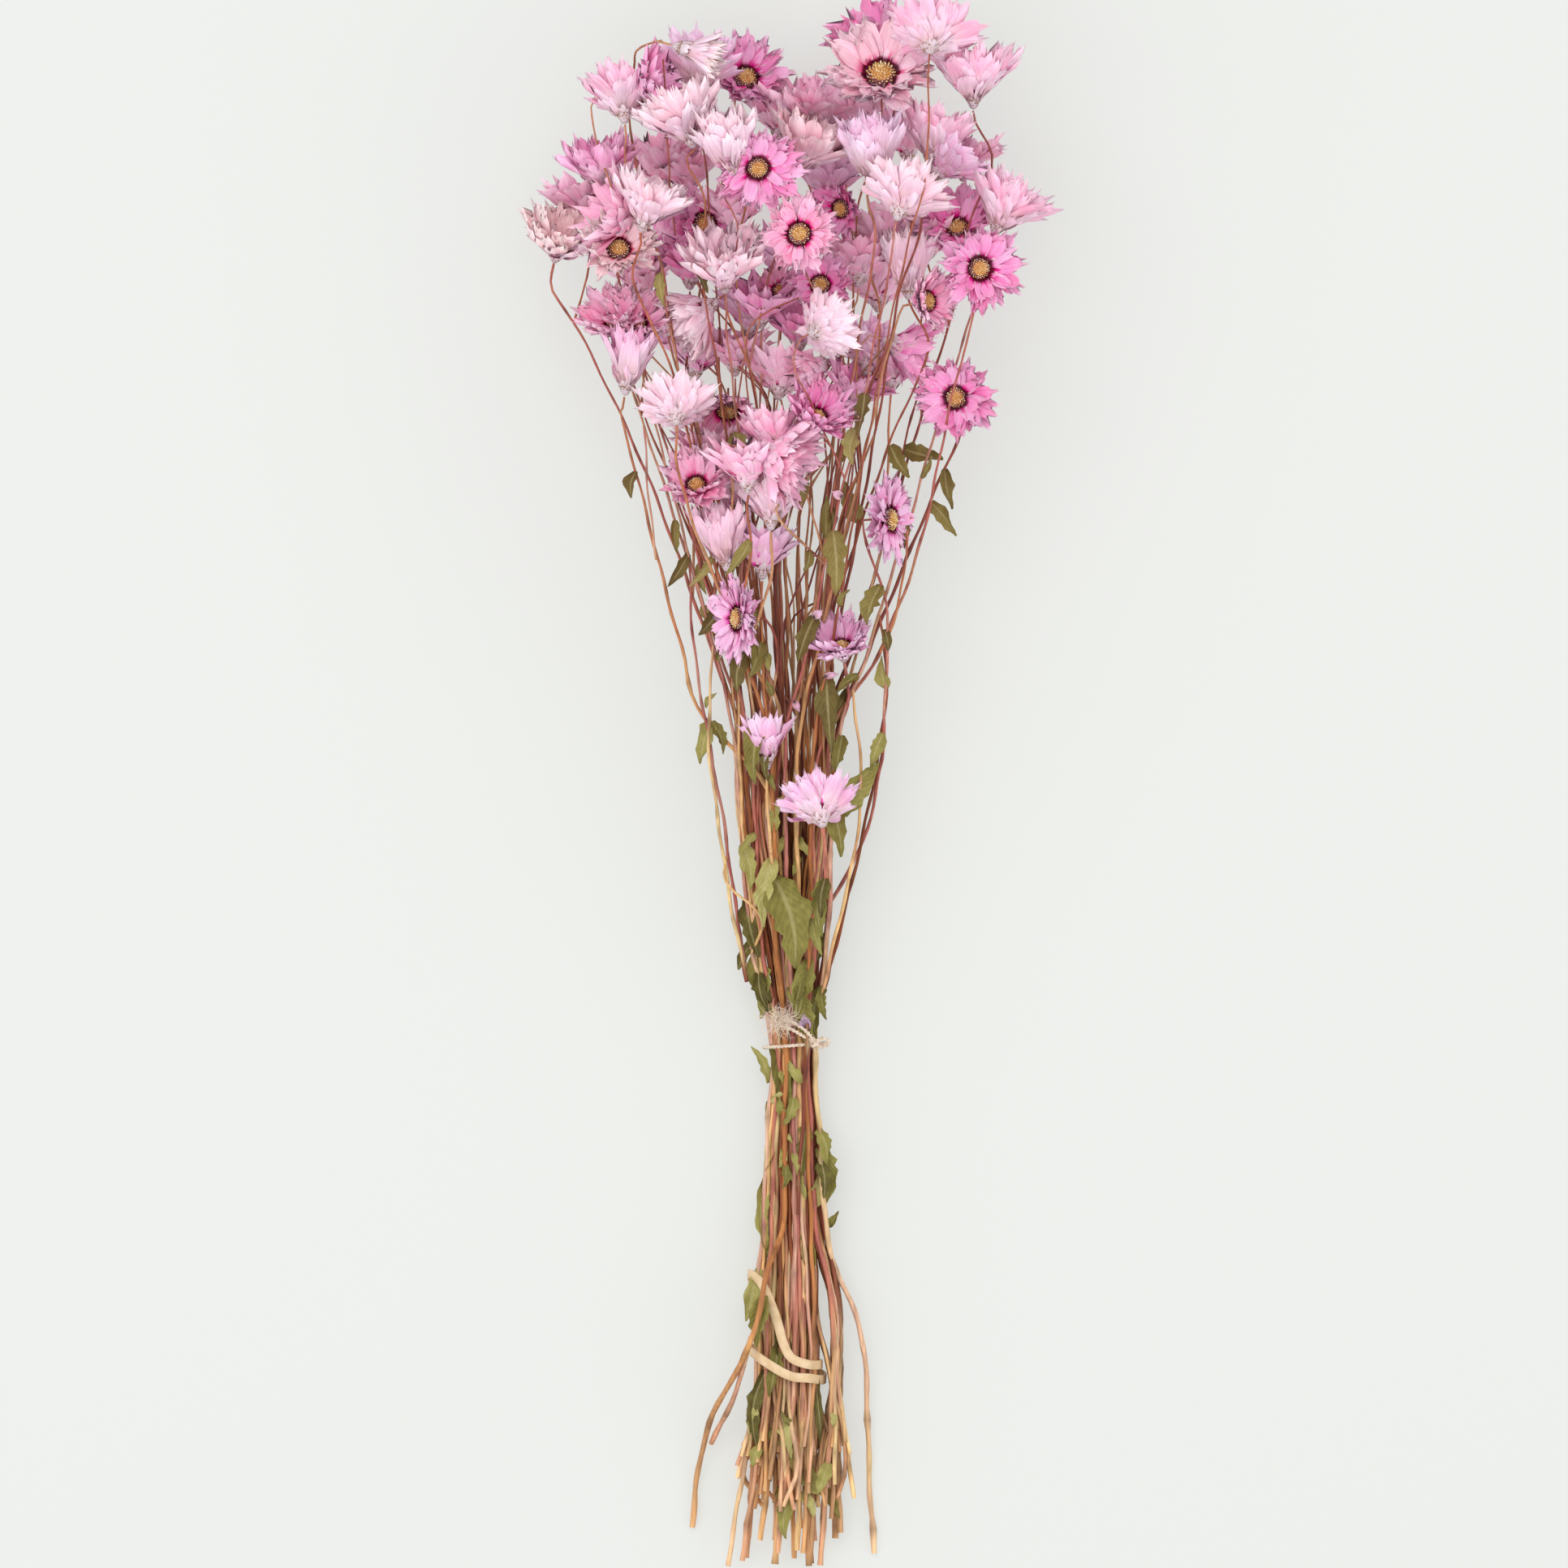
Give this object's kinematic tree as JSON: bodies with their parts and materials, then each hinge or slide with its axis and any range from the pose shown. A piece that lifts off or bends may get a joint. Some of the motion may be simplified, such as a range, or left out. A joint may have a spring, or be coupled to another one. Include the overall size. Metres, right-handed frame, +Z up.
{
  "type": "dried rhodanthe bunch",
  "caption": "Dried bunch of rhodanthe lying on its side: papery pink daisy heads on thin forked stems, gathered by a twine tie and a rubber band; rests flat as decor.",
  "frame": {"origin": "middle of the base of the whole bunch, on the surface that it lies on", "axes": "+Y runs along the bunch from the cut stem ends to the flower heads, +X across the bunch, +Z up from the surface"},
  "size_m": [0.1938, 0.5796, 0.1017],
  "materials": {
    "magenta_petals": "matte",
    "pink_petals": "matte",
    "coral_petals": "matte",
    "vivid_petals": "matte",
    "pale_petals": "matte",
    "dusty_petals": "matte",
    "stems": "matte",
    "twine": "matte",
    "band": "satin"
  },
  "bodies": {
    "root": {"bloom_01": "magenta_petals", "bloom_02": "pink_petals", "bloom_03": "pink_petals", "bloom_04": "pink_petals", "bloom_05": "coral_petals", "bloom_08": "vivid_petals", "bloom_09": "pale_petals", "bloom_10": "vivid_petals", "bloom_11": "vivid_petals", "bloom_12": "pale_petals", "bloom_15": "pale_petals", "bloom_17": "coral_petals", "bloom_19": "vivid_petals", "bloom_20": "dusty_petals", "bloom_21": "vivid_petals", "bloom_24": "pale_petals", "bloom_25": "magenta_petals", "bloom_26": "pink_petals", "bloom_27": "vivid_petals", "bloom_28": "pink_petals", "bloom_29": "vivid_petals", "bloom_30": "pale_petals", "bloom_31": "vivid_petals", "bloom_33": "pale_petals", "bloom_34": "pale_petals", "bloom_35": "pink_petals", "bloom_38": "vivid_petals", "bloom_39": "pale_petals", "bloom_40": "pale_petals", "bloom_41": "vivid_petals", "bloom_42": "dusty_petals", "bloom_43": "pale_petals", "bloom_44": "pink_petals", "bloom_45": "magenta_petals", "bloom_46": "vivid_petals", "bloom_47": "dusty_petals", "bloom_48": "dusty_petals", "bloom_51": "pink_petals", "bloom_52": "pale_petals", "bloom_53": "pink_petals", "bloom_54": "pink_petals", "bloom_55": "pink_petals", "bloom_56": "dusty_petals", "bloom_57": "dusty_petals", "bloom_58": "pale_petals", "bloom_60": "magenta_petals", "bloom_62": "magenta_petals", "bloom_63": "dusty_petals", "bloom_66": "dusty_petals", "bloom_pair_06_07": "pink_petals", "bloom_pair_13_14": "pale_petals", "bloom_pair_16_18": "pale_petals", "bloom_pair_22_23": "pink_petals", "bloom_pair_32_61": "dusty_petals", "bloom_pair_36_37": "pink_petals", "bloom_pair_49_50_59": "pale_petals", "bloom_pair_64_65": "dusty_petals", "stems": "stems", "twine_tie": "twine", "rubber_band": "band"}
  },
  "joints": []
}
